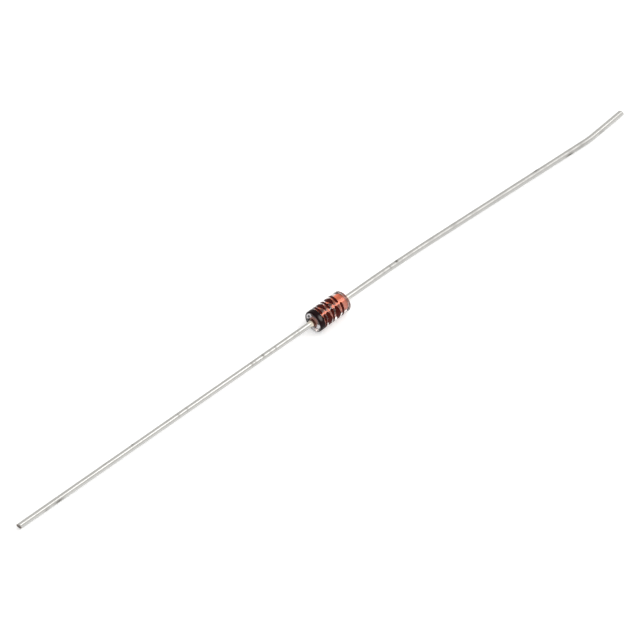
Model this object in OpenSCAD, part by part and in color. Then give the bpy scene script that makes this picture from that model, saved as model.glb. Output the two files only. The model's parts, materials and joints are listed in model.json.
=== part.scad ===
// Axial glass zener diode, lying on a table on its glass and on the tips of its leads.
// +X runs along the glass from cathode to anode, +Z is up.
// The origin is on the table, under the middle of the glass.

/* [Glass sleeve] */
// Outside diameter of the glass
glass_diameter = 1.8; // [1.5:0.05:2.3]
// Length of the glass from lip to lip
glass_length = 3.4; // [3:0.1:5]
// Radius of the fire-polished shoulder round each end
shoulder_radius = 0.2; // [0.1:0.01:0.25]
// Radius of the lip that rolls in to the stud at each end
lip_radius = 0.16; // [0.12:0.01:0.2]

/* [Studs] */
// Diameter of the copper-clad studs that the glass is fused on
stud_diameter = 0.82; // [0.7:0.01:1]
// Depth of each stud's outer face below the lip of the glass
stud_setback = 0.1; // [0.05:0.01:0.12]
// Bevel round the rims of the studs
stud_bevel = 0.03; // [0.01:0.005:0.05]

/* [Die] */
// Side of the square silicon die
die_side = 0.42; // [0.3:0.01:0.48]
// Thickness of the die
die_thickness = 0.14; // [0.1:0.01:0.25]
// Diameter of the silver bump on the anode face of the die
bump_diameter = 0.26; // [0.15:0.01:0.3]
// Height of the bump between the die and the anode stud
bump_height = 0.06; // [0.04:0.01:0.12]

/* [Lead wire] */
// Diameter of the wire
lead_diameter = 0.5; // [0.4:0.01:0.56]
// How far the weld bead stands proud of the wire
weld_bulge = 0.04; // [0.01:0.005:0.08]
// Distance from a stud's outer face to the middle of its weld bead
weld_offset = 0.12; // [0.08:0.01:0.16]
// Bevel round the cut ends of the wire
cut_bevel = 0.04; // [0.01:0.005:0.08]
// How much the radius of the wire shrinks where it was bent
bend_thinning = 0.002; // [0.001:0.001:0.01]
// How far the thinned wire of a bend runs on inside the straight wire on each side
bend_lap = 0.05; // [0.02:0.01:0.1]

/* [Cathode lead] */
// Straight run from the weld bead to the cut end
cathode_run = 30.5; // [25:0.1:38]
// Lean of the lead away from the axis of the glass, in degrees
cathode_lean = 2.1; // [0:0.1:6]

/* [Anode lead] */
// Lean of the lead where it leaves the weld bead, in degrees
anode_lean = 0.3; // [0:0.1:6]
// Straight run from the weld bead to the slow sweep
anode_first_run = 3; // [1:0.1:8]
// Radius of the slow sweep
sweep_radius = 145; // [40:5:300]
// Angle that the slow sweep turns, in degrees
sweep_angle = 2.4; // [0.5:0.1:6]
// Straight run from the slow sweep to the bend near the tip
anode_main_run = 16.3; // [12:0.1:24]
// Radius of the bend near the tip
tip_bend_radius = 8; // [2:0.5:20]
// Angle that the bend near the tip turns back, in degrees
tip_bend_angle = 7.4; // [1:0.1:20]
// Straight run from the bend to the cut end
anode_tip_run = 3.1; // [1:0.1:6]

/* [Cathode band] */
// Width of the ink ring along the glass
band_width = 0.49; // [0.2:0.01:0.8]
// Distance from the lip of the glass to the ring
band_setback = 0.07; // [0.01:0.005:0.4]
// Thickness of the ink
band_thickness = 0.015; // [0.012:0.001:0.03]

/* [Hidden] */
$fn = 96;

glass_radius = glass_diameter / 2;
stud_radius = stud_diameter / 2;
wall = glass_radius - stud_radius;
// The two roundings of an end share the wall, so neither takes more than its part of it
shoulder = min(shoulder_radius, wall * 0.55);
lip = min(lip_radius, wall * 0.4);

// The die and its bump are pinched between the studs, with the stack centred in the glass
stack = die_thickness + bump_height;
stud_outer = glass_length / 2 - stud_setback;
stud_inner = stack / 2;
stud_length = stud_outer - stud_inner;
die_face = die_thickness - stack / 2;

lead_radius = lead_diameter / 2;
weld_radius = lead_radius + weld_bulge;
weld_x = stud_outer + weld_offset;

// The ink ring is the widest ring of the body, so it carries the body on the table
axis_height = glass_radius + band_thickness;
tip_drop = axis_height - lead_radius;

// Headings of the anode lead in its own plane, measured from the axis of the glass
sweep_heading = anode_lean + sweep_angle;
tip_heading = sweep_heading - tip_bend_angle;

function turn_reach(radius, from, to) = radius * abs(sin(to) - sin(from));

cathode_reach = cathode_run * cos(cathode_lean);
anode_reach = anode_first_run * cos(anode_lean)
            + turn_reach(sweep_radius, anode_lean, sweep_heading)
            + anode_main_run * cos(sweep_heading)
            + turn_reach(tip_bend_radius, sweep_heading, tip_heading)
            + anode_tip_run * cos(tip_heading);

// Each lead dips until its tip touches the table
cathode_dip = asin(tip_drop / cathode_reach);
anode_dip = asin(tip_drop / anode_reach);

// Lays what was made along +Z along the axis of the glass
module along_glass() {
    translate([0, 0, axis_height])
        rotate([0, 90, 0])
            children();
}

// Sliver between a square corner at the origin and the arc that rounds it off
module corner_sliver(radius) {
    difference() {
        square(radius);
        translate([radius, radius])
            circle(radius);
    }
}

// Half section of a solid glass rod with rounded shoulders, grown all round by the given amount
module rod_section(grow = 0) {
    radius = glass_radius + grow;
    half = glass_length / 2 + grow;
    difference() {
        translate([0, -half])
            square([radius, 2 * half]);
        for (end = [-1, 1])
            translate([radius, end * half])
                scale([-1, -end])
                    corner_sliver(shoulder + grow);
    }
}

module glass_sleeve() {
    color([0.86, 0.9, 0.9, 0.4])
        along_glass()
            rotate_extrude()
                difference() {
                    rod_section();
                    translate([0, -glass_length])
                        square([stud_radius, 2 * glass_length]);
                    for (end = [-1, 1])
                        translate([stud_radius, end * glass_length / 2])
                            scale([1, -end])
                                corner_sliver(lip);
                }
}

// Turned stud from its inner face at the origin, out along +Z
module stud() {
    rim = stud_radius - stud_bevel;
    rotate_extrude()
        polygon([
            [0, 0],
            [rim, 0],
            [stud_radius, stud_bevel],
            [stud_radius, stud_length - stud_bevel],
            [rim, stud_length],
            [0, stud_length]
        ]);
}

module cathode_stud() {
    color([0.82, 0.42, 0.26])
        along_glass()
            translate([0, 0, -stud_inner])
                mirror([0, 0, 1])
                    stud();
}

module anode_stud() {
    color([0.82, 0.42, 0.26])
        along_glass()
            translate([0, 0, stud_inner])
                stud();
}

module zener_die() {
    color([0.3, 0.31, 0.34])
        along_glass()
            translate([-die_side / 2, -die_side / 2, -stack / 2])
                cube([die_side, die_side, die_thickness]);
}

// Plated ball, pressed flat by the stud and by the die
module contact_bump() {
    color([0.8, 0.8, 0.78])
        along_glass()
            translate([0, 0, die_face])
                intersection() {
                    translate([0, 0, bump_height / 2])
                        sphere(d = bump_diameter);
                    translate([-bump_diameter, -bump_diameter, 0])
                        cube([2 * bump_diameter, 2 * bump_diameter, bump_height]);
                }
}

// Straight wire along +X, with what follows set on its end
module run(length) {
    rotate([0, 90, 0])
        cylinder(h = length, r = lead_radius);
    translate([length, 0, 0])
        children();
}

// Wire that turns left in its plane, with what follows set on its end
module left_bend(radius, angle) {
    lap = bend_lap / radius * 180 / PI;
    translate([0, radius, 0]) {
        rotate([0, 0, -90 - lap])
            rotate_extrude(angle = angle + 2 * lap)
                translate([radius, 0])
                    circle(lead_radius - bend_thinning);
        rotate([0, 0, angle])
            translate([0, -radius, 0])
                children();
    }
}

module right_bend(radius, angle) {
    mirror([0, 1, 0])
        left_bend(radius, angle)
            mirror([0, 1, 0])
                children();
}

module cut_end() {
    rotate([0, 90, 0])
        cylinder(h = cut_bevel, r1 = lead_radius, r2 = lead_radius - cut_bevel);
}

// Round weld bead, flat against the face of its stud, with the wire leaving it at its dip and lean
module welded_lead(dip, lean) {
    translate([weld_x, 0, 0])
        difference() {
            union() {
                sphere(weld_radius);
                rotate([0, dip, 0])
                    rotate([0, 0, -lean])
                        children();
            }
            translate([-weld_offset - 2 * weld_radius, -weld_radius, -weld_radius])
                cube(2 * weld_radius);
        }
}

module cathode_lead() {
    color([0.78, 0.78, 0.77])
        translate([0, 0, axis_height])
            rotate([0, 0, 180])
                welded_lead(cathode_dip, cathode_lean)
                    run(cathode_run)
                        cut_end();
}

module anode_lead() {
    color([0.78, 0.78, 0.77])
        translate([0, 0, axis_height])
            welded_lead(anode_dip, anode_lean)
                run(anode_first_run)
                    right_bend(sweep_radius, sweep_angle)
                        run(anode_main_run)
                            left_bend(tip_bend_radius, tip_bend_angle)
                                run(anode_tip_run)
                                    cut_end();
}

// Ink ring that follows the glass from its shoulder on to its barrel
module cathode_band() {
    color([0.08, 0.08, 0.09])
        along_glass()
            rotate_extrude()
                difference() {
                    intersection() {
                        rod_section(band_thickness);
                        translate([0, band_setback - glass_length / 2])
                            square([glass_diameter, band_width]);
                    }
                    rod_section();
                }
}

glass_sleeve();
cathode_stud();
anode_stud();
zener_die();
contact_bump();
cathode_lead();
anode_lead();
cathode_band();
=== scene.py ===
"""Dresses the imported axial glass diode: clear glass fused on copper studs, with tinned leads."""

import json
import math
from collections import namedtuple

import bmesh
import bpy
from bpy.props import FloatProperty, FloatVectorProperty, IntProperty, PointerProperty
from mathutils import Matrix, Vector, noise


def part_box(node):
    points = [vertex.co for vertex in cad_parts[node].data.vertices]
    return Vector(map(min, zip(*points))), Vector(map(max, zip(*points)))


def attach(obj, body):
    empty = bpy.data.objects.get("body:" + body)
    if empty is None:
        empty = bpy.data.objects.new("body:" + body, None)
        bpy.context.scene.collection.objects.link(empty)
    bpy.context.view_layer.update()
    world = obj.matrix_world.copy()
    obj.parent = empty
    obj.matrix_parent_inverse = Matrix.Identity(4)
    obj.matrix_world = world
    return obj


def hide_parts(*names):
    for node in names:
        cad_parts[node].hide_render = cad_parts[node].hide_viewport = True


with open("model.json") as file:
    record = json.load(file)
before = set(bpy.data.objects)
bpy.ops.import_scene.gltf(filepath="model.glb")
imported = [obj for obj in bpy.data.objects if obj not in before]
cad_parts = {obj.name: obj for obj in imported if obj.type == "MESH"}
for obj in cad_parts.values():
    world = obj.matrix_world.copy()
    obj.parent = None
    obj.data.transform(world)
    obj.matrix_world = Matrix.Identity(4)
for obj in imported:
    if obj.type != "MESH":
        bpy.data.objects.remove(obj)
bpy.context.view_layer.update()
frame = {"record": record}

bl_info = {
    "name": "Axial glass diode",
    "version": (1, 0, 0),
    "blender": (4, 5, 0),
    "location": "View3D > Sidebar > Diode",
    "description": "Builds the looks of a small axial glass diode around its packed CAD frame",
    "category": "Object",
}

MM = 0.001
MICRON = 0.001 * MM
BODY = "root"

glass_low, glass_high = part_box("glass_sleeve")
stud_low, stud_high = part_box("anode_stud")
die_low, die_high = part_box("zener_die")
bump_low, bump_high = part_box("contact_bump")
band_low, band_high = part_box("cathode_band")
wire_pin = next(m for m in frame["record"]["mounts"] if m["name"] == "cathode_lead_pin")

# The glass axis runs along X at this height above the table
AXIS_HEIGHT = (glass_low.z + glass_high.z) / 2
GLASS_RADIUS = (glass_high.z - glass_low.z) / 2
GLASS_HALF = glass_high.x
STUD_RADIUS = (stud_high.z - stud_low.z) / 2
BAND_THICKNESS = (band_high.z - band_low.z) / 2 - GLASS_RADIUS

CATHODE = -1
ANODE = 1
ENDS = {"cathode": CATHODE, "anode": ANODE}


def number(name, description, default, **limits):
    """A property that holds a number."""
    return FloatProperty(name=name, description=description, default=default, **limits)


def length(name, description, millimetres):
    """A property that holds a length, in metres."""
    metres = millimetres * MM
    return number(name, description, metres, min=0, precision=5, unit="LENGTH", subtype="DISTANCE")


def angle(name, description, degrees):
    """A property that holds an angle."""
    return number(name, description, math.radians(degrees), unit="ROTATION", subtype="ANGLE")


def facets(description, default):
    """A property that holds the number of facets round a piece."""
    return IntProperty(name="Sides", description=description, default=default, min=16)


def colour(name, description, *rgb):
    """A property that holds a linear colour."""
    return FloatVectorProperty(
        name=name, description=description, default=(*rgb, 1), size=4, min=0, max=1, subtype="COLOR"
    )


class GlassSettings(bpy.types.PropertyGroup):
    """Sizes and finish of the glass sleeve. Places on its cathode end are angles from the top."""

    radius: length("Radius", "Outside radius of the glass", GLASS_RADIUS / MM)
    half_length: length("Half length", "From the middle of the glass to its lip", GLASS_HALF / MM)
    bore: length("Bore radius", "Radius of the bore that the studs are sealed in", STUD_RADIUS / MM)
    shoulder: length("Shoulder", "Radius of the fire-polished shoulder", 0.2)
    lip: length("Lip", "Radius of the lip that rolls in to the stud", 0.16)
    waviness: length("Waviness", "How far the drawn glass swells and shrinks", 0.003)
    # Places of the two dark patches of painted shade on the cathode end, which stand in for dark
    # refraction in the glass
    shade_place: angle("Soot place", "Place of the furnace soot", -75)
    low_shade_place: angle("Low soot place", "Place of the smaller patch of soot", 126)
    # The ring is a painted highlight: a pale oval ring with a painted dark middle on the cathode end
    ring_place: angle("Ring place", "Place of the burst bubble", -40)
    ring_reach: length("Ring reach", "From the glass's axis to the burst bubble", 0.58)
    ring_radius: length("Ring radius", "Half the width of the bubble's oval ash ring", 0.155)
    ring_slant: angle("Ring slant", "Direction of the oval's long side", 33)
    # Places of two pale patches on the cathode end: painted light that comes through the lip
    lit_place: angle("Smear place", "Place of the pale ash", 88)
    low_lit_place: angle("Low smear place", "Place of the smaller smear of ash", 168)
    sides: facets("Facets round the glass", 160)
    index: number("Index", "Index of refraction", 1.6, min=1, max=2)
    tint: colour("Tint", "Colour of the clear glass", 0.98, 0.975, 0.965)
    cloud: colour("Cloud", "Colour of its faint cords", 0.94, 0.945, 0.94)
    blush: colour("Blush", "Clear glass that copper oxide colours at its seal", 0.90, 0.68, 0.62)
    # Near-black painted on the glass ends: painted shade for the dark refraction at the lips
    painted_shade: colour("Soot", "Furnace soot burnt on the ends", 0.07, 0.07, 0.075)
    seal: colour("Seal", "Copper oxide where the glass seals on a stud", 0.42, 0.185, 0.145)
    # Pale colour of the painted ring highlight and of the patches of painted light on the cathode end
    painted_light: colour("Ash", "Pale ash of the burst bubble", 0.84, 0.81, 0.83)


class StudSettings(bpy.types.PropertyGroup):
    """Sizes and finish of the copper-clad studs."""

    radius: length("Radius", "Radius of the studs", STUD_RADIUS / MM)
    inner: length("Inner face", "From the middle of the glass to a stud's inner face", stud_low.x / MM)
    outer: length("Outer face", "From the middle of the glass to a stud's outer face", stud_high.x / MM)
    bevel: length("Bevel", "Bevel round the rims", 0.03)
    seal: length("Seal", "How far the cladding is wetted by the glass", 0.003)
    sides: facets("Facets round a stud", 96)
    orange: colour("Orange", "Borated copper", 0.80, 0.158, 0.057)
    red: colour("Red", "Copper where its oxide is thicker", 0.58, 0.12, 0.05)
    # Paler pink painted along one side of each stud: a painted sheen
    sheen_pink: colour("Pink", "Copper under a paler film of borate", 0.60, 0.205, 0.145)
    sheen_place: angle("Pink place", "Angle of the paler film from a stud's top", 95)
    # Brown painted on a stud where the cathode band covers it: painted shade of the band
    band_shadow_brown: colour("Brown", "Heat oxide at the cathode end", 0.35, 0.15, 0.11)


class DieSettings(bpy.types.PropertyGroup):
    """Sizes and finish of the die and its contact bump."""

    mesa: number("Mesa", "Raised share of the die's side", 0.76, min=0, max=1, subtype="FACTOR")
    step: length("Step", "Height of the raised anode face", 0.02)
    bevel: length("Bevel", "Bevel along the sawn edges", 0.006)
    sides: facets("Facets round the bump", 64)
    silicon: colour("Silicon", "Polished silicon", 0.09, 0.095, 0.11)
    saw: colour("Saw marks", "Sawn sides of the die", 0.17, 0.17, 0.175)
    silver: colour("Silver", "Plated silver of the bump", 0.82, 0.81, 0.78)
    tarnish: colour("Tarnish", "Dull patches on the silver", 0.52, 0.48, 0.42)


class LeadSettings(bpy.types.PropertyGroup):
    """Sizes and finish of the two leads."""

    radius: length("Wire radius", "Radius of the wire", wire_pin["dims"]["r_mm"])
    weld_bulge: length("Weld bulge", "How far the weld bead stands proud of the wire", 0.04)
    weld_offset: length("Weld offset", "From a stud's face to the middle of its bead", 0.12)
    cut_bevel: length("Cut bevel", "Bevel round the cut ends", 0.04)
    cut_reach: length("Cut reach", "How far along the wire the shears dragged the tin", 0.4)
    cut_place: angle("Cut place", "Angle of the dragged side from the wire's top", 123)
    cathode_cut: angle("Cathode cut", "Slant of the cathode lead's sheared end", -18)
    anode_cut: angle("Anode cut", "Slant of the anode lead's sheared end", 10)
    cathode_lean: angle("Cathode lean", "Lean of the cathode lead", 2.1)
    cathode_run: length("Cathode run", "Length of the cathode lead", 30.28)
    anode_lean: angle("Anode lean", "Lean of the anode lead at its bead", 0.3)
    first_run: length("First run", "From the anode lead's bead to its slow sweep", 3)
    sweep_radius: length("Sweep radius", "Radius of the slow sweep", 145)
    sweep_angle: angle("Sweep angle", "Angle that the sweep turns", 2.4)
    main_run: length("Main run", "From the sweep to the bend near the tip", 16.3)
    bend_radius: length("Bend radius", "Radius of the bend near the tip", 8)
    bend_angle: angle("Bend angle", "Angle that the bend turns back", 7.4)
    tip_run: length("Tip run", "From the bend to the cut end", 3.32)
    spacing: length("Ring spacing", "Distance between the rings of the mesh", 0.08)
    sides: facets("Facets round the wire", 48)
    waviness: length("Waviness", "Unevenness of the tin", 0.0015)
    tin: colour("Tin", "Bright tin", 0.545, 0.542, 0.53)
    dull: colour("Dull tin", "Tin where it is dull", 0.485, 0.483, 0.473)
    # Dark colour of real scuffs and stains on the tin. It is also painted as shade that breaks the
    # highlight along the top
    stain: colour("Stain", "Scuffed and stained tin", 0.085, 0.075, 0.06)
    weld: colour("Weld", "Straw colour of the tin near the weld", 0.74, 0.67, 0.56)
    oxide: colour("Oxide", "Brown oxide on the cathode lead's weld bead", 0.17, 0.075, 0.05)
    copper: colour("Copper", "Tarnished cladding that shows on a cut end", 0.18, 0.125, 0.095)
    steel: colour("Steel", "Core that shows on a cut end", 0.115, 0.11, 0.105)


class BandSettings(bpy.types.PropertyGroup):
    """Sizes and finish of the cathode band."""

    start: number("Start", "Place of the outer edge along the glass", band_low.x, unit="LENGTH")
    end: number("End", "Place of the inner edge along the glass", band_high.x, unit="LENGTH")
    thickness: length("Thickness", "Thickness of the ink", BAND_THICKNESS / MM)
    sink: length("Sink", "How far the ink bites into the glass", 0.003)
    raggedness: length("Raggedness", "How far the band's edges wander", 0.03)
    sides: facets("Facets round the band", 192)
    black: colour("Black", "Baked ink", 0.011, 0.003, 0.004)
    grey: colour("Grey", "Ink where it is thin", 0.026, 0.013, 0.015)
    # Lighter grey painted on the band: a painted highlight where the band reflects light
    band_highlight: colour("Worn", "Ink where it is rubbed thin", 0.135, 0.122, 0.12)
    highlight_place: angle("Worn place", "Angle of the rubbed spot from the glass's top", 38)
    highlight_inset: length("Worn inset", "From the band's inner edge to the rubbed spot", 0.22)


class MarkSettings(bpy.types.PropertyGroup):
    """Sizes and finish of the plain ink marks on the glass."""

    stroke: length("Stroke", "Width of the bars", 0.22)
    height: length("Height", "Height of a mark round the glass", 1.45)
    width: length("Width", "Width of a diamond along the glass", 0.54)
    fullness: number("Fullness", "How far the lower diamonds' tips are cut off", 1.5, min=1)
    lean: length("Lean", "How far a bar leans along the glass", 0.14)
    spacing: length("Spacing", "Distance between the points of a mark", 0.018)
    thickness: length("Thickness", "Thickness of the ink", 0.006)
    raggedness: length("Raggedness", "How far the edges of the ink wander", 0.008)
    upper_row: angle("Upper row", "Angle of the upper row from the glass's top", -20)
    lower_row: angle("Lower row", "Angle of the lower row from the glass's top", 78)
    ink: colour("Ink", "Stamped ink", 0.056, 0.004, 0.002)
    thin_ink: colour("Thin ink", "Ink where it is thin", 0.095, 0.014, 0.009)


class StageSettings(bpy.types.PropertyGroup):
    """Floor, light and camera."""

    floor_size: length("Floor size", "Side of the floor", 6000)
    floor_colour: colour("Floor", "Colour of the floor", 0.92, 0.925, 0.93)
    floor_glow: number("Floor glow", "Light that comes up through the floor", 0.44, min=0)
    bright_wall: colour("Bright wall", "The room on the key light's side", 1.0, 0.985, 0.95)
    dark_wall: colour("Dark wall", "The room away from the key light", 0.34, 0.34, 0.36)
    key_radiance: number("Key", "Brightness of the overhead softbox", 2.2, min=0)
    key_azimuth: angle("Key azimuth", "Place of the softbox round the diode", 57)
    key_elevation: angle("Key elevation", "Height of the softbox above the horizon", 56)
    key_distance: length("Key distance", "From the diode to the softbox", 400)
    key_size: length("Key size", "Side of the softbox", 180)
    camera_azimuth: angle("Azimuth", "Place of the camera round the diode", -44.4)
    camera_elevation: angle("Elevation", "Height of the camera above the horizon", 47.86)
    lens: number("Lens", "Focal length in millimetres", 1000, min=1)
    sensor: number("Sensor", "Width of the sensor in millimetres", 36, min=1)
    view_width: length("View width", "Width of the picture at the diode", 49.46)
    aim_left: length("Aim left", "How far left of the glass's middle the camera aims", 0.618)
    aim_down: length("Aim down", "How far below the glass's middle the camera aims", 0.664)


class Value:
    """A shader socket that takes part in Python expressions. Each operator adds its node."""

    def __init__(self, shader, socket):
        self.shader = shader
        self.socket = socket

    def join(self, operation, *terms):
        """Math on numbers, or Vector Math on vectors."""
        kind = "ShaderNodeVectorMath" if self.socket.type == "VECTOR" else "ShaderNodeMath"
        return self.shader.node(kind, {"operation": operation}, dict(enumerate(terms)))

    def __add__(self, other):
        return self.join("ADD", self, other)

    def __radd__(self, other):
        return self.join("ADD", other, self)

    def __sub__(self, other):
        return self.join("SUBTRACT", self, other)

    def __rsub__(self, other):
        return self.join("SUBTRACT", other, self)

    def __mul__(self, other):
        return self.join("MULTIPLY", self, other)

    def __rmul__(self, other):
        return self.join("MULTIPLY", other, self)

    def __abs__(self):
        return self.join("ABSOLUTE", self)

    def rise(self, low, high):
        """A smooth step from 0 at low to 1 at high."""
        sockets = {"Value": self, "From Min": low, "From Max": high}
        return self.shader.node("ShaderNodeMapRange", {"interpolation_type": "SMOOTHSTEP"}, sockets)


class Shader:
    """The node tree of a material or a world, with the nodes that this diode's finishes share."""

    def __init__(self, owner):
        owner.use_nodes = True
        self.owner = owner
        self.tree = owner.node_tree
        self.tree.nodes.clear()

    def node(self, kind, settings=None, sockets=None, output=0):
        """Adds a node: its settings first, then the values or links of its sockets."""
        made = self.tree.nodes.new(kind)
        for name, setting in (settings or {}).items():
            setattr(made, name, setting)
        for name, value in (sockets or {}).items():
            if isinstance(value, Value):
                self.tree.links.new(value.socket, made.inputs[name])
            else:
                made.inputs[name].default_value = value
        return Value(self, made.outputs[output]) if made.outputs else None

    def along(self, place):
        """Place along the glass, in millimetres."""
        return self.node("ShaderNodeSeparateXYZ", None, {"Vector": place}, output="X")

    def distance(self, place, centre, stretch):
        """Distance of a place from a centre, in millimetres, after a stretch. Centre is in metres."""
        away = (place - tuple(centre / MM)) * stretch
        return self.node("ShaderNodeVectorMath", {"operation": "LENGTH"}, {0: away}, output="Value")

    def noise(self, place, along, across, detail):
        """Cloudy noise from 0 to 1, with so many clouds to a millimetre along X and across it."""
        return self.node("ShaderNodeTexNoise", None, {
            "Vector": place * (along, across, across),
            "Scale": 1.0,
            "Detail": detail,
            "Roughness": 0.55,
        })

    def attribute(self, name):
        """A number that the mesh holds at its points."""
        return self.node("ShaderNodeAttribute", {"attribute_name": name}, output="Fac")

    def mix(self, first, second, factor):
        """A colour between two others."""
        sockets = {0: factor, 6: first, 7: second}
        return self.node("ShaderNodeMix", {"data_type": "RGBA"}, sockets, output=2)

    def bump(self, height, depth):
        """A normal from a height that runs from 0 to 1 over the given depth."""
        sockets = {"Height": height, "Distance": depth, "Strength": 1.0}
        return self.node("ShaderNodeBump", None, sockets)

    def close(self, surface, output):
        """Ends the tree in its output, and gives what the tree belongs to."""
        self.node(output, None, {"Surface": surface})
        return self.owner

    def finish(self, sockets):
        """Ends the tree in a Principled shader, and gives the material."""
        surface = self.node("ShaderNodeBsdfPrincipled", None, sockets)
        return self.close(surface, "ShaderNodeOutputMaterial")


def new_finish(name):
    """The shader of a new material, and the places on its piece, in millimetres."""
    shader = Shader(bpy.data.materials.new(name))
    metres = shader.node("ShaderNodeTexCoord", output="Object")
    return shader, metres * (1 / MM, 1 / MM, 1 / MM)


def near_lip(along, end, start, full):
    """Rises from 0 to 1 between two distances from the lip at an end of the glass, in millimetres."""
    lip = GLASS_HALF / MM
    return (along * end).rise(lip - start, lip - full)


def clear_glass(glass):
    """Clear drawn glass with faint cords and smudges. Its ends carry copper oxide at the seals, painted
    shade and painted light.
    """
    shader, place = new_finish("clear_glass")
    cords = shader.noise(place, 0.5, 3.0, detail=2.0)
    smudges = shader.noise(place, 2.2, 2.2, detail=4.0)
    tint = shader.mix(glass.tint, glass.cloud, cords.rise(0.45, 0.75))
    anode_seal = near_lip(shader.along(place), ANODE, start=0.42, full=0.22)
    clear = shader.node("ShaderNodeBsdfPrincipled", None, {
        "Base Color": shader.mix(tint, glass.blush, anode_seal),
        "Roughness": 0.004 + 0.03 * smudges.rise(0.55, 0.8),
        "Normal": shader.bump(cords, 0.4 * MICRON),
        "Transmission Weight": 1.0,
        "IOR": glass.index,
    })
    stain, amount = end_stain_and_light(shader, place, glass)
    film = shader.node("ShaderNodeBsdfPrincipled", None, {
        "Base Color": stain,
        "Roughness": 0.35 + 0.2 * smudges,
        "Specular IOR Level": 0.2,
    })
    surface = shader.node("ShaderNodeMixShader", None, {0: amount, 1: clear, 2: film})
    return shader.close(surface, "ShaderNodeOutputMaterial")


def end_stain_and_light(shader, place, glass):
    """Colour and amount of the copper oxide and of the painted shade and light on the glass ends, with
    sizes in millimetres.

    The cathode end has dark painted shade in a patch and round its lip, a pale oval ring of painted
    highlight with a painted dark middle, and two pale patches of painted light. The anode lip has
    fainter painted shade, and both seals have copper oxide.
    """
    blots = shader.noise(place, 5.0, 5.0, detail=3.0)
    along = shader.along(place)
    cathode_end = near_lip(along, CATHODE, start=0.30, full=0.20)
    anode_end = near_lip(along, ANODE, start=0.18, full=0.08)
    from_axis = shader.distance(place, on_glass(0, 0, 0), (0, 1, 1)) + 0.1 * blots

    def spot(around, reach, stretch):
        """Distance from a spot on the cathode end, along and across the slant of the painted ring
        highlight.
        """
        centre = on_glass(-glass.half_length, around, reach)
        sockets = {"Vector": place, "Center": tuple(centre / MM), "Angle": -glass.ring_slant}
        turned = shader.node("ShaderNodeVectorRotate", {"rotation_type": "X_AXIS"}, sockets)
        return shader.distance(turned, centre, (0, 1, stretch))

    def patch(around, reach, solid, gone, ragged, stretch=1):
        """A patch on the cathode end: whole within solid of its middle, gone raggedly at gone."""
        return 1 - (spot(around, reach * MM, stretch) + ragged * blots).rise(solid, gone)

    # A pale oval ring of painted highlight round a middle of painted shade
    ring_glint = spot(glass.ring_place, glass.ring_reach, stretch=0.56)
    ring = glass.ring_radius / MM
    ring_middle_shade = 1 - ring_glint.rise(ring - 0.03, ring)
    # Painted shade: a dark patch on the cathode end, a smaller one lower down, and the dark middle of
    # the ring
    shade_patch = patch(glass.shade_place, reach=0.62, solid=0.45, gone=0.62, ragged=0.25)
    low_shade_patch = patch(glass.low_shade_place, reach=0.74, solid=0.15, gone=0.25, ragged=0.1)
    end_shade = 1 - (1 - 0.85 * shade_patch) * (1 - 0.5 * low_shade_patch) * (1 - 0.8 * ring_middle_shade)
    # Painted shade round the rims of both lips, darker at the cathode end
    rim = near_lip(abs(along), ANODE, start=0.12, full=0.04) * from_axis.rise(0.70, 0.82)
    painted_shade = 1 - (1 - cathode_end * end_shade) * (1 - (0.22 + 0.63 * cathode_end) * rim)

    cathode_seal = patch(glass.ring_slant, reach=0.42, solid=0.28, gone=0.48, ragged=0)
    anode_oxide = anode_end * (1 - from_axis.rise(0.62, 0.80))
    oxide = 0.8 * cathode_end * cathode_seal + 0.5 * anode_oxide

    # Two pale patches of painted light that comes through the lip
    lit_patch = patch(glass.lit_place, reach=0.62, solid=0.15, gone=0.25, ragged=0.06, stretch=0.55)
    low_lit_patch = patch(glass.low_lit_place, reach=0.56, solid=0.12, gone=0.34, ragged=0.06)
    off_ring = abs(ring_glint - ring).rise(0.03, 0.065)
    painted_light = cathode_end * (1 - (1 - 0.9 * lit_patch) * (1 - 0.8 * low_lit_patch) * off_ring)

    stain = shader.mix(shader.mix(glass.painted_shade, glass.seal, oxide), glass.painted_light, painted_light)
    return stain, 1 - (1 - painted_shade) * (1 - oxide) * (1 - painted_light)


def borated_copper(studs):
    """Orange cladding with draw marks along the stud. Painted shade browns it under the cathode band,
    and a painted sheen pales one side.
    """
    shader, place = new_finish("borated_copper")
    draw_marks = shader.noise(place, 0.8, 9.0, detail=2.0)
    clouds = shader.noise(place, 1.4, 2.6, detail=3.0)
    # Painted shade: the stud browns under the cathode band, which shades it
    band_shade = near_lip(shader.along(place) - 0.15 * clouds, CATHODE, start=0.48, full=0.28)
    # A painted sheen: paler pink along the side at sheen_place
    sheen_line = on_glass(0, studs.sheen_place, studs.radius)
    from_sheen = shader.distance(place, sheen_line, (0, 1, 1)) + 0.2 * clouds
    orange_and_sheen = shader.mix(studs.sheen_pink, studs.orange, from_sheen.rise(0.35, 0.60))
    cladding = shader.mix(orange_and_sheen, studs.red, 0.8 * clouds.rise(0.45, 0.75))
    return shader.finish({
        "Base Color": shader.mix(cladding, studs.band_shadow_brown, band_shade),
        "Metallic": 1.0 - 0.6 * band_shade,
        "Roughness": 0.28 + 0.08 * clouds + 0.2 * band_shade,
        "Normal": shader.bump(draw_marks, 0.2 * MICRON),
    })


def polished_silicon(die):
    """Dark polished silicon with saw marks on its sides."""
    shader, place = new_finish("polished_silicon")
    saw_marks = shader.noise(place, 90.0, 6.0, detail=2.0)
    clouds = shader.noise(place, 9.0, 9.0, detail=3.0)
    return shader.finish({
        "Base Color": shader.mix(die.silicon, die.saw, saw_marks.rise(0.4, 0.7)),
        "Roughness": 0.18 + 0.25 * clouds,
        "Metallic": 0.35,
        "Normal": shader.bump(saw_marks, 0.8 * MICRON),
    })


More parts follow.
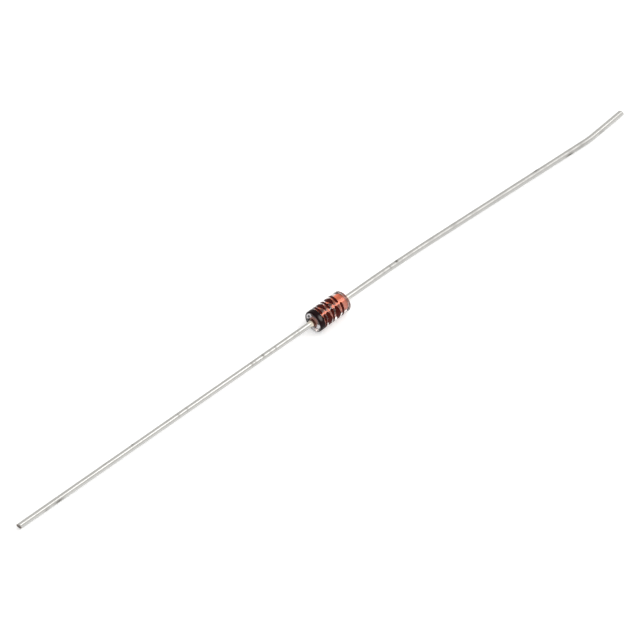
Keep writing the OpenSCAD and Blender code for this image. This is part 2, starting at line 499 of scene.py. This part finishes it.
def plated_silver(die):
    """Dull plated silver with tarnish in patches."""
    shader, place = new_finish("plated_silver")
    grains = shader.noise(place, 34.0, 34.0, detail=3.0)
    patches = shader.noise(place, 8.0, 8.0, detail=3.0)
    return shader.finish({
        "Base Color": shader.mix(die.silver, die.tarnish, patches.rise(0.45, 0.75)),
        "Roughness": 0.28 + 0.2 * grains,
        "Metallic": 1.0,
        "Normal": shader.bump(grains, 1.0 * MICRON),
    })


def tinned_wire(lead):
    """Bright tin with draw marks, dull stretches, scuffs and stains, painted shade that breaks the
    highlight in spots, a straw-coloured weld and bare ends.
    """
    shader, place = new_finish("tinned_wire")
    draw_marks = shader.noise(place, 0.7, 16.0, detail=3.0)
    patches = shader.noise(place, 1.1, 2.4, detail=4.0)
    pits = shader.noise(place, 4.5, 7.0, detail=2.0)
    rubs = shader.noise(place, 1.7, 0.5, detail=3.0)
    # Dark spots: real scuffs and stains, and painted shade on the highlight
    scuff_and_shade = shader.attribute("scuff_and_shade")
    core = shader.attribute("core")
    along = shader.along(place)
    # The anode lead was handled more than the cathode lead, but for its tip
    gripped = 0.62 * along.rise(2.0, 4.0) + 0.18 * along.rise(8.0, 12.0)
    handled = 0.2 + gripped - 0.65 * along.rise(27.1, 28.4)
    rub_and_highlight = handled * rubs.rise(0.44, 0.64)
    from_middle = abs(along) + 0.05 * pits
    cathode_side = 1 - along.rise(0.0, 1.0)
    oxidised = cathode_side * (1 - from_middle.rise(1.80, 1.88))
    layers = [
        (lead.dull, 0.4 * patches.rise(0.40, 0.70) + 0.6 * handled),
        (lead.weld, 1 - from_middle.rise(1.85, 2.3)),
        (lead.oxide, oxidised),
        (lead.stain, scuff_and_shade),
        (lead.copper, core.rise(0.05, 0.2)),
        (lead.steel, core.rise(0.3, 0.42)),
    ]
    tone = lead.tin
    for layer, amount in layers:
        tone = shader.mix(tone, layer, amount)
    tin_roughness = 0.16 + 0.10 * patches + 0.175 * handled + 0.12 * rub_and_highlight
    return shader.finish({
        "Base Color": tone,
        "Roughness": tin_roughness + 0.25 * scuff_and_shade + 0.3 * oxidised,
        "Metallic": 1.0 - 0.45 * scuff_and_shade - 0.5 * oxidised,
        "Normal": shader.bump(0.6 * draw_marks + 0.4 * pits, 0.5 * MICRON),
    })


def baked_ink(name, full, thin, band_highlight=None):
    """Ink that is lighter where it is thin. band_highlight is the place of a painted highlight, and its
    colour there.
    """
    shader, place = new_finish(name)
    clouds = shader.noise(place, 5.0, 5.0, detail=4.0)
    specks = shader.noise(place, 22.0, 22.0, detail=2.0)
    ink = shader.mix(full, thin, clouds.rise(0.5, 0.8))
    if band_highlight:
        centre, rub_and_highlight = band_highlight
        away = shader.distance(place, centre, (4.5, 2.6, 2.6)) + 0.5 * specks
        ink = shader.mix(rub_and_highlight, ink, away.rise(0.5, 1.1))
    return shader.finish({
        "Base Color": ink,
        "Roughness": 0.20 + 0.15 * specks,
        "Specular IOR Level": 0.06,
        "Normal": shader.bump(specks, 0.6 * MICRON),
    })


def pale_floor(stage):
    """Smooth pale board, lit a little from below."""
    return Shader(bpy.data.materials.new("pale_floor")).finish({
        "Base Color": stage.floor_colour,
        "Roughness": 0.9,
        "Emission Color": stage.floor_colour,
        "Emission Strength": stage.floor_glow,
    })


def on_glass(x, around, radius):
    """Point at a radius from the glass's axis, at an angle from its top to the camera's side."""
    return Vector((x, -radius * math.sin(around), AXIS_HEIGHT + radius * math.cos(around)))


def wander(place, seed):
    """Smooth noise from -1 to 1 for a place in metres, a millimetre to a wave."""
    return noise.noise(Vector(place) / MM + Vector((seed, 0, 0)))


def turns(sides):
    """The angles of a round of facets."""
    return [2 * math.pi * side / sides for side in range(sides)]


def arc(centre, radius, start, end, steps):
    """Points (x, r) of an arc, at angles from +x towards +r."""
    bends = [start + (end - start) * step / steps for step in range(steps + 1)]
    return [(centre[0] + radius * math.cos(a), centre[1] + radius * math.sin(a)) for a in bends]


def between(first, last, steps):
    """The points strictly between two others."""
    return [
        tuple(a + (b - a) * step / steps for a, b in zip(first, last))
        for step in range(1, steps)
    ]


def skin(bm, rings, closed=False):
    """Joins rings of points with quads. A closed skin ends where it starts, an open one is capped."""
    rows = [[bm.verts.new(point) for point in ring] for ring in rings]
    pairs = list(zip(rows, rows[1:]))
    if closed:
        pairs.append((rows[-1], rows[0]))
    for row, following in pairs:
        for here in range(len(row)):
            there = (here + 1) % len(row)
            bm.faces.new((row[here], row[there], following[there], following[here]))
    if not closed:
        for row in (rows[0], rows[-1]):
            hub = bm.verts.new(sum((vert.co for vert in row), Vector()) / len(row))
            for here in range(len(row)):
                bm.faces.new((row[here], row[(here + 1) % len(row)], hub))
    return rows


def lathe(bm, profile, sides, closed=False, swell=lambda x, around: 0):
    """Turns a profile of (x, r) points about the glass's axis. swell is what a radius grows by."""
    rings = [
        [on_glass(x, around, radius + swell(x, around)) for around in turns(sides)]
        for x, radius in profile
    ]
    skin(bm, rings, closed)


def add_mesh(name, bm, material):
    """Puts a mesh with its material in the scene."""
    mesh = bpy.data.meshes.new(name)
    bm.to_mesh(mesh)
    bm.free()
    mesh.materials.append(material)
    made = bpy.data.objects.new(name, mesh)
    bpy.context.scene.collection.objects.link(made)
    return made


def make_piece(name, bm, material, replaced=(), sharp=40):
    """Makes a piece from a mesh: smooth but for its sharp edges, riding on the diode's body."""
    bmesh.ops.recalc_face_normals(bm, faces=bm.faces)
    piece = add_mesh(name, bm, material)
    piece.data.shade_smooth()
    piece.data.set_sharp_from_angle(angle=math.radians(sharp))
    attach(piece, BODY)
    if replaced:
        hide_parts(*replaced)


def glass_swell(glass, x, around):
    """How far the drawn glass stands over its true radius at a place."""
    place = (x, math.sin(around) * MM, math.cos(around) * MM)
    return glass.waviness * wander(place, seed=3)


def glass_profile(glass):
    """Closed half section of the sleeve: lips, shoulders, barrel and bore."""
    shoulder_r = glass.radius - glass.shoulder
    lip_r = glass.bore + glass.lip
    half = glass.half_length
    quarter = math.pi / 2
    lip = arc((half - glass.lip, lip_r), glass.lip, -quarter, 0, steps=10)
    shoulder = arc((half - glass.shoulder, shoulder_r), glass.shoulder, 0, quarter, steps=12)
    face = lip + between(lip[-1], shoulder[0], steps=3) + shoulder
    cathode_face = [(-x, r) for x, r in face]
    anode_face = face[::-1]
    barrel = between(cathode_face[-1], anode_face[0], steps=40)
    bore = between(anode_face[-1], cathode_face[0], steps=24)
    return cathode_face + barrel + anode_face + bore


class DIODE_OT_glass(bpy.types.Operator):
    """Make the glass sleeve with its rolled lips and fire-polished shoulders"""

    bl_idname = "diode.glass"
    bl_label = "Glass sleeve"

    def execute(self, context):
        glass = context.scene.diode_glass

        def swell(x, around):
            return glass_swell(glass, x, around)

        bm = bmesh.new()
        lathe(bm, glass_profile(glass), glass.sides, closed=True, swell=swell)
        make_piece("glass_sleeve_clear", bm, clear_glass(glass), ["glass_sleeve"])
        return {"FINISHED"}


def stud_profile(studs, end):
    """Half section of a stud, from its inner face to its outer face."""
    radius = studs.radius + studs.seal
    inner = (studs.inner, radius - studs.bevel)
    outer = (studs.outer, radius - studs.bevel)
    first = (studs.inner + studs.bevel, radius)
    last = (studs.outer - studs.bevel, radius)
    inner_face = between((studs.inner, 0), inner, steps=6)
    side = between(first, last, steps=30)
    outer_face = between(outer, (studs.outer, 0), steps=6)
    points = inner_face + [inner, first] + side + [last, outer] + outer_face
    return [(end * x, r) for x, r in points]


class DIODE_OT_studs(bpy.types.Operator):
    """Make the copper-clad studs that the glass is sealed on"""

    bl_idname = "diode.studs"
    bl_label = "Studs"

    def execute(self, context):
        studs = context.scene.diode_studs
        material = borated_copper(studs)
        for name, end in ENDS.items():
            bm = bmesh.new()
            lathe(bm, stud_profile(studs, end), studs.sides)
            make_piece(f"{name}_stud_clad", bm, material, [f"{name}_stud"], sharp=30)
        return {"FINISHED"}


def die_mesh(die):
    """Sawn square die with a raised mesa on its anode face."""
    bm = bmesh.new()
    size = die_high - die_low
    scale = Matrix.Diagonal((size.x - 2 * die.step, size.y, size.z, 1))
    place = Matrix.Translation((die_low + die_high) / 2) @ scale
    place.translation.x -= die.step
    bmesh.ops.create_cube(bm, size=1, matrix=place)
    top = max(bm.faces, key=lambda face: face.calc_center_median().x)
    bmesh.ops.inset_region(bm, faces=[top], thickness=size.y * (1 - die.mesa) / 2)
    raised = bmesh.ops.extrude_face_region(bm, geom=[top])["geom"]
    bmesh.ops.delete(bm, geom=[top], context="FACES_ONLY")
    for part in raised:
        if isinstance(part, bmesh.types.BMVert):
            part.co.x = die_high.x
    bmesh.ops.bevel(bm, geom=bm.edges, offset=die.bevel, segments=2, affect="EDGES", profile=0.6)
    return bm


def bump_mesh(die):
    """Plated ball, pressed flat by the die and by the stud."""
    dents = 0.004 * MM
    radius = (bump_high.z - bump_low.z) / 2
    middle = (bump_low.x + bump_high.x) / 2
    half = (bump_high.x - bump_low.x) / 2
    steps = 14
    offsets = [half * (2 * step / steps - 1) for step in range(steps + 1)]
    profile = [(middle + off, math.sqrt(radius * radius - off * off)) for off in offsets]

    def swell(x, around):
        return dents * wander((8 * x, around * MM, 0), seed=11)

    bm = bmesh.new()
    lathe(bm, profile, die.sides, swell=swell)
    return bm


class DIODE_OT_die(bpy.types.Operator):
    """Make the silicon die and the silver bump between the studs"""

    bl_idname = "diode.die"
    bl_label = "Die and bump"

    def execute(self, context):
        die = context.scene.diode_die
        chip = die_mesh(die)
        make_piece("zener_die_sawn", chip, polished_silicon(die), ["zener_die"], sharp=25)
        bump = bump_mesh(die)
        make_piece("contact_bump_plated", bump, plated_silver(die), ["contact_bump"])
        return {"FINISHED"}


Stretch = namedtuple("Stretch", "length turn")
Station = namedtuple("Station", "along point forward")
Scuff = namedtuple("Scuff", "along around reach spread depth stain")

# Scuffs and small dents. Along is millimetres from the weld, around is degrees from the top to the
# camera's side. Reach is millimetres, spread degrees, depth micrometres. The last column, stain and
# painted light, is the share of the dark colour: real stains, and painted shade where a spot lies on
# the highlight along the top, round 20 to 30 degrees. A share of 1 is the full colour: where scuffs
# overlap, or one is over 1, the spot of that colour is broader.
CATHODE_SCUFFS = [
    (26.4, 74, 0.42, 22, 5, 0.88),
    (27.66, 86, 0.3, 30, 2, 0.42),
    (21.5, -30, 0.3, 24, 3, 0.25),
    (18.57, -30, 0.12, 26, 4, 0.7),
    (13.97, 24, 0.07, 35, 6, 0.45),
    (13.1, 28, 0.08, 35, 7, 0.3),
    (6.33, 25, 0.11, 38, 6, 0.4),
    (6.0, 28, 0.06, 35, 6, 0.3),
    (5.15, 8, 0.08, 38, 7, 0.65),
    (4.47, 28, 0.1, 35, 4, 0.2),
    (3.89, 24, 0.07, 38, 6, 0.4),
    (2.83, 30, 0.1, 32, 4, 0.15),
    (1.95, 30, 0.2, 32, 4, 0.2),
    (1.52, 28, 0.06, 32, 5, 0.3),
]
ANODE_SCUFFS = [
    (5.66, -10, 0.11, 28, 9, 1.0),
    (20.3, -40, 0.24, 28, 6, 1.1),
    (23.6, 84, 0.36, 26, 6, 0.78),
    (24.6, 80, 0.45, 28, 2, 0.2),
    (25.1, 52, 0.6, 46, 1, 0.13),
    (27.1, 82, 0.35, 28, 3, 0.35),
    (4.15, 30, 0.12, 35, 5, 0.15),
    (4.9, 26, 0.07, 35, 6, 0.4),
    (6.75, 22, 0.05, 30, 3, 0.2),
    (7.2, 26, 0.05, 30, 3, 0.15),
    (7.8, 22, 0.05, 30, 3, 0.2),
    (9.4, 24, 0.05, 30, 4, 0.1),
    (11.6, 26, 0.4, 30, 4, 0.1),
]
SCUFF_UNITS = (MM, math.radians(1), MM, math.radians(1), MICRON, 1)


def scuffs_from(rows):
    """Scuffs in metres and radians."""
    return [Scuff(*(size * unit for size, unit in zip(row, SCUFF_UNITS))) for row in rows]


def scuff_share(scuff_and_shade, along, around):
    """How much of a scuff a place on the wire has, from 0 to 1."""
    off = (around - scuff_and_shade.around + math.pi) % (2 * math.pi) - math.pi
    return math.exp(-(((along - scuff_and_shade.along) / scuff_and_shade.reach) ** 2) - (off / scuff_and_shade.spread) ** 2)


def lead_stretches(lead, end):
    """The straight runs and bends of a lead, and its lean at the weld."""
    if end == CATHODE:
        return [Stretch(lead.cathode_run, 0)], lead.cathode_lean
    runs = [
        Stretch(lead.first_run, 0),
        Stretch(lead.sweep_radius * lead.sweep_angle, -lead.sweep_angle),
        Stretch(lead.main_run, 0),
        Stretch(lead.bend_radius * lead.bend_angle, lead.bend_angle),
        Stretch(lead.tip_run, 0),
    ]
    return runs, lead.anode_lean


def flat_line(stretches, lean, spacing):
    """Distances, points and headings of a wire in its own plane, from its weld bead on."""
    heading = -lean
    point = Vector((0, 0, 0))
    along = 0
    line = [(along, point.copy(), heading)]
    for stretch in stretches:
        count = max(1, round(stretch.length / spacing))
        step = stretch.length / count
        for _ in range(count):
            heading += stretch.turn / count / 2
            point += step * Vector((math.cos(heading), math.sin(heading), 0))
            heading += stretch.turn / count / 2
            along += step
            line.append((along, point.copy(), heading))
    return line


def lead_line(lead, studs, end):
    """Stations of a lead: it leaves its bead, and dips until its tip touches the table."""
    stretches, lean = lead_stretches(lead, end)
    line = flat_line(stretches, lean, lead.spacing)
    reach = line[-1][1].x
    dip = Matrix.Rotation(math.asin((AXIS_HEIGHT - lead.radius) / reach), 4, "Y")
    outward = Matrix.Rotation(0 if end == ANODE else math.pi, 4, "Z")
    weld = Matrix.Translation((studs.outer + lead.weld_offset, 0, 0))
    frame_of_lead = Matrix.Translation((0, 0, AXIS_HEIGHT)) @ outward @ weld @ dip
    turn = frame_of_lead.to_3x3()
    stations = []
    for along, point, heading in line:
        forward = turn @ Vector((math.cos(heading), math.sin(heading), 0))
        stations.append(Station(along, frame_of_lead @ point, forward))
    return stations


def bead_line(lead, first, end):
    """Stations through the weld bead, from the stud's face to the first station of the wire."""
    outward = Vector((end, 0, 0))
    count = 6
    places = [-lead.weld_offset * (1 - step / count) for step in range(count)]
    return [Station(along, first.point + along * outward, outward) for along in places]


def lead_radius(lead, along, around, scuffs, seed):
    """Radius of a lead at a place: wire, weld bead, uneven tin and scuffs."""
    neck = 0.03 * MM
    melt = 0.012 * MM
    bead = lead.radius + lead.weld_bulge
    ball = math.sqrt(max(bead * bead - along * along, 0))
    over = ball - lead.radius
    proud = (over + math.sqrt(over * over + neck * neck)) / 2 if ball > 0 else 0
    fade = math.exp(-max(along - bead, 0) / neck)
    melted = melt * math.exp(-((along / bead) ** 2))
    ripple = melted * wander((0, 2 * around * MM, seed * MM), seed)
    uneven = lead.waviness * wander((1.7 * along, 0.8 * around * MM, 0), seed)
    dent = sum(scuff_and_shade.depth * scuff_share(scuff_and_shade, along, around) for scuff_and_shade in scuffs)
    return lead.radius + proud * fade + ripple + uneven - dent


def ring_at(lead, station, end, radii, slope):
    """Points round a wire at a station, from its top to the camera's side. A sheared one slopes."""
    up = Vector((0, 0, 1))
    top = (up - up.dot(station.forward) * station.forward).normalized()
    front = station.forward.cross(top) * end
    ring = []
    for around, radius in zip(turns(lead.sides), radii):
        offset = math.cos(around) * top + math.sin(around) * front
        dragged = slope * math.cos(around - lead.cut_place) * station.forward
        ring.append(station.point + radius * (offset + dragged))
    return ring


def cut_end(lead, last, end, slope):
    """Rings over the rounded rim of a sheared end and across its face, and how bare each is."""
    steps = 5
    sink = 0.012 * MM
    face = lead.radius - lead.cut_bevel
    shapes = []
    for step in range(1, steps + 1):
        turn = math.pi / 2 * step / steps
        radius = face + lead.cut_bevel * math.cos(turn)
        shapes.append((lead.cut_bevel * math.sin(turn), radius, 0.2 * step / steps))
    for part in (0.8, 0.55, 0.3, 0.12):
        shapes.append((lead.cut_bevel - sink * (1 - part), face * part, 1 - 0.9 * part))
    rings = []
    for beyond, radius, _ in shapes:
        station = last._replace(point=last.point + beyond * last.forward)
        rings.append(ring_at(lead, station, end, [radius] * lead.sides, slope))
    return rings, [bare for _, _, bare in shapes]


def make_lead(lead, studs, name, end, material):
    """Makes a lead whose points hold how much stain and painted shade they have, and how bare the core
    is.
    """
    seed = 13 if end == CATHODE else 27
    scuffs = scuffs_from(CATHODE_SCUFFS if end == CATHODE else ANODE_SCUFFS)
    slope = math.tan(lead.cathode_cut if end == CATHODE else lead.anode_cut)
    wire = lead_line(lead, studs, end)
    rings = []
    stains_and_shade = []
    for station in bead_line(lead, wire[0], end) + wire:
        along = station.along
        radii = []
        for around in turns(lead.sides):
            radii.append(lead_radius(lead, along, around, scuffs, seed))
            stain = sum(scuff_and_shade.stain * scuff_share(scuff_and_shade, along, around) for scuff_and_shade in scuffs)
            stains_and_shade.append(min(1, stain))
        dragged = max(0, 1 - (wire[-1].along - along) / lead.cut_reach)
        rings.append(ring_at(lead, station, end, radii, slope * dragged))
    cut_rings, cut_cores = cut_end(lead, wire[-1], end, slope)
    cores = [0] * len(rings) + cut_cores
    bm = bmesh.new()
    scuff_layer = bm.verts.layers.float.new("scuff_and_shade")
    core_layer = bm.verts.layers.float.new("core")
    rows = skin(bm, rings + cut_rings)
    on_rings = [vert for row in rows for vert in row]
    for vert, stain in zip(on_rings, stains_and_shade):
        vert[scuff_layer] = stain
    for row, core in zip(rows, cores):
        for vert in row:
            vert[core_layer] = core
    # The middle of each end is bare wire too
    for hub in set(bm.verts) - set(on_rings):
        hub[core_layer] = 1
    make_piece(f"{name}_lead_tinned", bm, material, [f"{name}_lead"], sharp=50)


class DIODE_OT_leads(bpy.types.Operator):
    """Make the two leads with their weld beads, bends, scuffs, painted shade on their highlights and
    cut ends
    """

    bl_idname = "diode.leads"
    bl_label = "Leads"

    def execute(self, context):
        lead = context.scene.diode_leads
        material = tinned_wire(lead)
        for name, end in ENDS.items():
            make_lead(lead, context.scene.diode_studs, name, end, material)
        return {"FINISHED"}


def glass_skin(glass, x):
    """Radius of the glass on its barrel or shoulder, and the direction out of it (along x, out)."""
    shoulder = glass.shoulder
    beyond = abs(x) - (glass.half_length - shoulder)
    if beyond <= 0:
        return glass.radius, (0, 1)
    rise = math.sqrt(max(shoulder ** 2 - beyond ** 2, 0))
    return glass.radius - shoulder + rise, (math.copysign(beyond / shoulder, x), rise / shoulder)


def ink_point(glass, x, around, height):
    """Point at a height over the glass."""
    radius, out = glass_skin(glass, x)
    swell = glass_swell(glass, x, around)
    return on_glass(x + height * out[0], around, radius + swell + height * out[1])


def ink_section(glass, edges, sink, thickness, steps):
    """Closed loop across a ribbon of ink between two edges (x, around): crowned, and sunk below."""
    (x0, a0), (x1, a1) = edges
    parts = [step / steps for step in range(steps + 1)]
    crown = [(part, thickness * (1 - abs(2 * part - 1) ** 5) ** 0.5) for part in parts]
    base = [(part, -sink) for part in reversed(parts)]
    return [
        ink_point(glass, x0 + (x1 - x0) * part, a0 + (a1 - a0) * part, height)
        for part, height in crown + base
    ]


class DIODE_OT_band(bpy.types.Operator):
    """Make the inked cathode band"""

    bl_idname = "diode.band"
    bl_label = "Cathode band"

    def execute(self, context):
        band = context.scene.diode_band
        glass = context.scene.diode_glass
        loop = 1.3 * MM
        rings = []
        for around in turns(band.sides):
            spot = (loop * math.sin(around), loop * math.cos(around), 0)
            start = band.start + band.raggedness * wander(spot, seed=31)
            end = band.end + band.raggedness * wander(spot, seed=37)
            edges = ((start, around), (end, around))
            rings.append(ink_section(glass, edges, band.sink, band.thickness, steps=16))
        bm = bmesh.new()
        skin(bm, rings, closed=True)
        # A painted highlight on the band, near the side that faces the camera
        highlight_spot = on_glass(band.end - band.highlight_inset, band.highlight_place, glass.radius)
        material = baked_ink("black_band_ink", band.black, band.grey, (highlight_spot, band.band_highlight))
        make_piece("cathode_band_ink", bm, material, ["cathode_band"], sharp=60)
        return {"FINISHED"}


# Places of the stamped marks along the glass
UPPER_BARS = (-0.97 * MM, -0.16 * MM, 0.72 * MM)
UPPER_DIAMONDS = (-0.57 * MM, 0.28 * MM)
LOWER_BARS = (-1.0 * MM, -0.2 * MM, 0.8 * MM)
LOWER_DIAMONDS = (-0.6 * MM, 0.3 * MM)


def ink_line(start, end, spacing):
    """Points (x, y) along a straight line, and the direction across it."""
    start = Vector(start)
    reach = Vector(end) - start
    steps = max(1, round(reach.length / spacing))
    along = reach.normalized()
    points = [start + reach * step / steps for step in range(steps + 1)]
    return points, Vector((-along.y, along.x))


def ink_ribbon(bm, glass, marks, points, across, half_widths, seed):
    """A ribbon of ink on the glass, along a line (x along the glass, y round it)."""
    rings = []
    for point, half in zip(points, half_widths):
        edges = []
        for side in (1, -1):
            rough = marks.raggedness * wander((3 * point.x, 3 * point.y, side * MM), seed)
            edge = point + across * (side * max(half + rough, marks.thickness))
            edges.append((edge.x, edge.y / glass.radius))
        rings.append(ink_section(glass, edges, marks.thickness / 2, marks.thickness, steps=14))
    skin(bm, rings)


def ink_bar(bm, glass, marks, x, y, seed):
    """A slanted bar of even width with round ends."""
    lean = marks.lean / 2
    tall = marks.height / 2
    half = marks.stroke / 2
    points, across = ink_line((x - lean, y + tall), (x + lean, y - tall), marks.spacing)
    widths = []
    for point in points:
        near = min((point - points[0]).length, (point - points[-1]).length)
        tuck = max(0, 1 - near / half)
        widths.append(half * math.sqrt(1 - tuck * tuck))
    ink_ribbon(bm, glass, marks, points, across, widths, seed)


def ink_diamond(bm, glass, marks, x, y, fullness, seed):
    """A solid diamond. A fullness over 1 cuts its tips off flat."""
    wide = marks.width / 2
    tall = marks.height / 2
    points, across = ink_line((x - wide, y), (x + wide, y), marks.spacing)
    widths = [tall * min(1, fullness * (1 - abs(point.x - x) / wide)) for point in points]
    ink_ribbon(bm, glass, marks, points, across, widths, seed)


class DIODE_OT_marks(bpy.types.Operator):
    """Make the plain ink marks stamped on the glass: bars and diamonds"""

    bl_idname = "diode.marks"
    bl_label = "Ink marks"

    def execute(self, context):
        marks = context.scene.diode_marks
        glass = context.scene.diode_glass
        upper = marks.upper_row * glass.radius
        lower = marks.lower_row * glass.radius
        # The marks of each row with their place round the glass and the seed of the first
        bars = [(UPPER_BARS, upper, 41), (LOWER_BARS, lower, 51)]
        diamonds = [(LOWER_DIAMONDS, lower, 61, marks.fullness), (UPPER_DIAMONDS, upper, 71, 1)]
        bm = bmesh.new()
        for places, y, seed in bars:
            for order, x in enumerate(places):
                ink_bar(bm, glass, marks, x, y, seed + order)
        for places, y, seed, fullness in diamonds:
            for order, x in enumerate(places):
                ink_diamond(bm, glass, marks, x, y, fullness, seed + order)
        material = baked_ink("stamped_ink", marks.ink, marks.thin_ink)
        make_piece("stamped_marks", bm, material, sharp=60)
        return {"FINISHED"}


def direction(azimuth, elevation):
    """Unit vector to a place round the diode: azimuth from -Y, elevation from the horizon."""
    return Vector((
        math.sin(azimuth) * math.cos(elevation),
        -math.cos(azimuth) * math.cos(elevation),
        math.sin(elevation),
    ))


def set_up(name, data, aim, back, distance):
    """Puts a light or a camera at a distance from what it faces, with its picture upright."""
    thing = bpy.data.objects.new(name, data)
    thing.location = aim + back * distance
    thing.rotation_mode = "QUATERNION"
    thing.rotation_quaternion = (-back).to_track_quat("-Z", "Y")
    bpy.context.scene.collection.objects.link(thing)
    return thing


def make_key(stage):
    """A square softbox that faces the diode and isn't seen by the camera."""
    back = direction(stage.key_azimuth, stage.key_elevation)
    light = bpy.data.lights.new("key", "AREA")
    light.shape = "SQUARE"
    light.size = stage.key_size
    light.energy = stage.key_radiance * math.pi * stage.key_size ** 2
    lamp = set_up("key", light, Vector((0, 0, AXIS_HEIGHT)), back, stage.key_distance)
    lamp.visible_camera = False


def make_floor(stage):
    """Pale floor under the diode."""
    bm = bmesh.new()
    bmesh.ops.create_grid(bm, x_segments=8, y_segments=8, size=stage.floor_size / 2)
    floor = add_mesh("floor", bm, pale_floor(stage))


def make_room(stage):
    """Soft room light, brighter on the side of the key light."""
    world = bpy.data.worlds.new("soft_room")
    shader = Shader(world)
    towards = shader.node("ShaderNodeTexCoord", output="Generated")
    sockets = {0: towards, 1: direction(stage.key_azimuth, 0)}
    dot = {"operation": "DOT_PRODUCT"}
    to_key = shader.node("ShaderNodeVectorMath", dot, sockets, output="Value")
    room = shader.mix(stage.dark_wall, stage.bright_wall, to_key.rise(-1.0, 0.35))
    glow = shader.node("ShaderNodeBackground", None, {"Color": room})
    bpy.context.scene.world = shader.close(glow, "ShaderNodeOutputWorld")


def make_camera(stage):
    """Camera with a long lens, at the angle of the photograph."""
    back = direction(stage.camera_azimuth, stage.camera_elevation)
    right = Vector((math.cos(stage.camera_azimuth), math.sin(stage.camera_azimuth), 0))
    up = back.cross(right)
    aim = Vector((0, 0, AXIS_HEIGHT)) - right * stage.aim_left - up * stage.aim_down
    camera = bpy.data.cameras.new("camera")
    camera.lens = stage.lens
    camera.sensor_width = stage.sensor
    distance = stage.view_width * stage.lens / stage.sensor
    bpy.context.scene.camera = set_up("camera", camera, aim, back, distance)


class DIODE_OT_stage(bpy.types.Operator):
    """Make the floor, the light and the camera"""

    bl_idname = "diode.stage"
    bl_label = "Stage"

    def execute(self, context):
        stage = context.scene.diode_stage
        make_floor(stage)
        make_room(stage)
        make_key(stage)
        make_camera(stage)
        context.scene.view_settings.view_transform = "Standard"
        return {"FINISHED"}


class DIODE_PT_pieces(bpy.types.Panel):
    """Lists the diode's pieces"""

    bl_idname = "DIODE_PT_pieces"
    bl_label = "Axial glass diode"
    bl_space_type = "VIEW_3D"
    bl_region_type = "UI"
    bl_category = "Diode"

    def draw(self, context):
        for operator in OPERATORS:
            self.layout.operator(operator.bl_idname)


SETTINGS = {
    "diode_stage": StageSettings,
    "diode_leads": LeadSettings,
    "diode_studs": StudSettings,
    "diode_die": DieSettings,
    "diode_glass": GlassSettings,
    "diode_band": BandSettings,
    "diode_marks": MarkSettings,
}
OPERATORS = [
    DIODE_OT_stage,
    DIODE_OT_leads,
    DIODE_OT_studs,
    DIODE_OT_die,
    DIODE_OT_glass,
    DIODE_OT_band,
    DIODE_OT_marks,
]


def register():
    for name, group in SETTINGS.items():
        bpy.utils.register_class(group)
        setattr(bpy.types.Scene, name, PointerProperty(type=group))
    for operator in OPERATORS:
        bpy.utils.register_class(operator)
    bpy.utils.register_class(DIODE_PT_pieces)


def unregister():
    bpy.utils.unregister_class(DIODE_PT_pieces)
    for operator in reversed(OPERATORS):
        bpy.utils.unregister_class(operator)
    for name, group in reversed(SETTINGS.items()):
        delattr(bpy.types.Scene, name)
        bpy.utils.unregister_class(group)


def main():
    register()
    bpy.ops.diode.stage()
    bpy.ops.diode.leads()
    bpy.ops.diode.studs()
    bpy.ops.diode.die()
    bpy.ops.diode.glass()
    bpy.ops.diode.band()
    bpy.ops.diode.marks()


if __name__ == "__main__":
    main()
